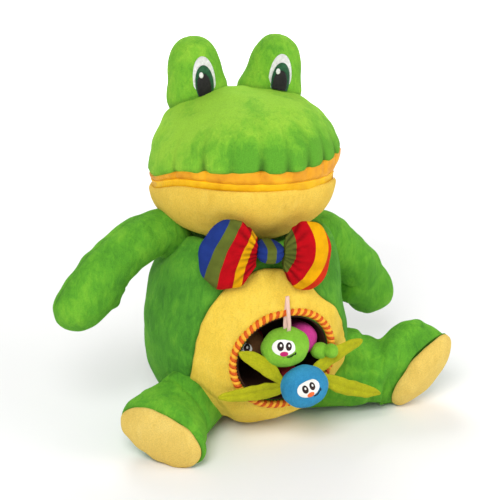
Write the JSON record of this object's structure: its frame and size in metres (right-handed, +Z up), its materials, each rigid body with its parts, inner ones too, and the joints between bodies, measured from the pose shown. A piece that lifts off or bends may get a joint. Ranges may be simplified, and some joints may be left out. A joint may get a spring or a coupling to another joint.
{
  "type": "stuffed toy frog",
  "caption": "Sitting plush frog with a wide hinged mouth, eye bumps, a bow tie and a belly pocket that holds small plush bugs.",
  "frame": {"origin": "middle of the flat patch that the torso sits on, at floor level", "axes": "+Z up, -Y the way the frog faces, +X towards the frog's left hand"},
  "size_m": [0.3606, 0.2048, 0.347],
  "materials": {
    "green_plush": "short-pile plush, mottled nap",
    "yellow_plush": "short-pile plush",
    "gold_lining": "smooth woven mouth lining",
    "pocket_lining": "dark woven lining",
    "piping": "twisted two-colour cord",
    "eye_white": "satin-stitch embroidery",
    "eye_iris": "satin-stitch embroidery",
    "eye_pupil": "satin-stitch embroidery",
    "striped_cotton": "woven stripes",
    "inchworm_green": "velour",
    "inchworm_magenta": "velour",
    "dragonfly_blue": "velour",
    "dragonfly_red": "velour",
    "wing_green": "felt",
    "beetle_brown": "velour",
    "face_white": "printed felt",
    "ribbon": "sheer satin ribbon"
  },
  "bodies": {
    "torso": {"torso": "green_plush", "belly_panel": "yellow_plush", "pocket_lining": "pocket_lining", "pocket_piping": "piping"},
    "neck": {"neck": "green_plush"},
    "lower_head": {"jaw": "yellow_plush", "mouth_floor": "gold_lining"},
    "upper_head": {"snout": "green_plush", "palate": "gold_lining", "eye_bump_right": "green_plush", "eye_white_right": "eye_white", "eye_iris_right": "eye_iris", "eye_pupil_right": "eye_pupil", "eye_bump_left": "green_plush", "eye_white_left": "eye_white", "eye_iris_left": "eye_iris", "eye_pupil_left": "eye_pupil"},
    "arm_right": {"arm_right": "green_plush"},
    "arm_left": {"arm_left": "green_plush"},
    "leg_right": {"leg_right": "green_plush", "sole_right": "yellow_plush"},
    "leg_left": {"leg_left": "green_plush", "sole_left": "yellow_plush"},
    "bow_tie": {"bow_loop_right": "striped_cotton", "bow_loop_left": "striped_cotton", "bow_knot": "striped_cotton"},
    "inchworm": {"inchworm_head": "inchworm_green", "inchworm_face": "face_white", "inchworm_segment_1": "inchworm_magenta", "inchworm_segment_2": "inchworm_magenta", "inchworm_foot_1": "inchworm_green", "inchworm_foot_2": "inchworm_green", "inchworm_hang_loop": "ribbon"},
    "dragonfly": {"dragonfly_head": "dragonfly_blue", "dragonfly_face": "face_white", "dragonfly_body": "dragonfly_red", "dragonfly_wing_1": "wing_green", "dragonfly_wing_2": "wing_green", "dragonfly_wing_3": "wing_green", "dragonfly_wing_4": "wing_green"},
    "beetle": {"beetle_head": "beetle_brown", "beetle_face": "face_white", "beetle_body": "beetle_brown"}
  },
  "joints": [
    {"name": "neck_turn", "type": "hinge", "parent": "torso", "child": "neck", "pos_m": [0, 0.008, 0.182], "axis": [0, 0, 1], "range_deg": [-10, 14]},
    {"name": "head_nod", "type": "hinge", "parent": "neck", "child": "lower_head", "pos_m": [0, 0.008, 0.182], "axis": [0.9958, -0.0751, -0.052], "range_deg": [-8, 2]},
    {"name": "mouth_open", "type": "hinge", "parent": "lower_head", "child": "upper_head", "pos_m": [0.005, 0.08143, 0.21447], "axis": [-0.9958, 0.0751, 0.052], "range_deg": [0, 35]},
    {"name": "arm_right_swing", "type": "hinge", "parent": "torso", "child": "arm_right", "pos_m": [-0.064, 0.012, 0.156], "axis": [1, 0, 0], "range_deg": [-35, 35]},
    {"name": "arm_left_swing", "type": "hinge", "parent": "torso", "child": "arm_left", "pos_m": [0.064, 0.012, 0.156], "axis": [1, 0, 0], "range_deg": [-35, 35]},
    {"name": "leg_right_splay", "type": "hinge", "parent": "torso", "child": "leg_right", "pos_m": [-0.05, -0.022, 0.0325], "axis": [0, 0, 1], "range_deg": [-12, 12]},
    {"name": "leg_left_splay", "type": "hinge", "parent": "torso", "child": "leg_left", "pos_m": [0.05, -0.022, 0.0325], "axis": [0, 0, 1], "range_deg": [-12, 12]},
    {"name": "bow_tilt", "type": "hinge", "parent": "lower_head", "child": "bow_tie", "pos_m": [-0.01663, -0.07825, 0.1825], "axis": [-0.2079, -0.9781, 0], "range_deg": [-4, 4]},
    {"name": "inchworm_out", "type": "slide", "parent": "torso", "child": "inchworm", "axis": [0, -0.9659, 0.2588], "range_m": [0, 0.12]},
    {"name": "dragonfly_out", "type": "slide", "parent": "torso", "child": "dragonfly", "axis": [0, -1, 0], "range_m": [0, 0.12]},
    {"name": "beetle_shift", "type": "slide", "parent": "torso", "child": "beetle", "axis": [0, -1, 0], "range_m": [-0.012, 0.004]}
  ]
}
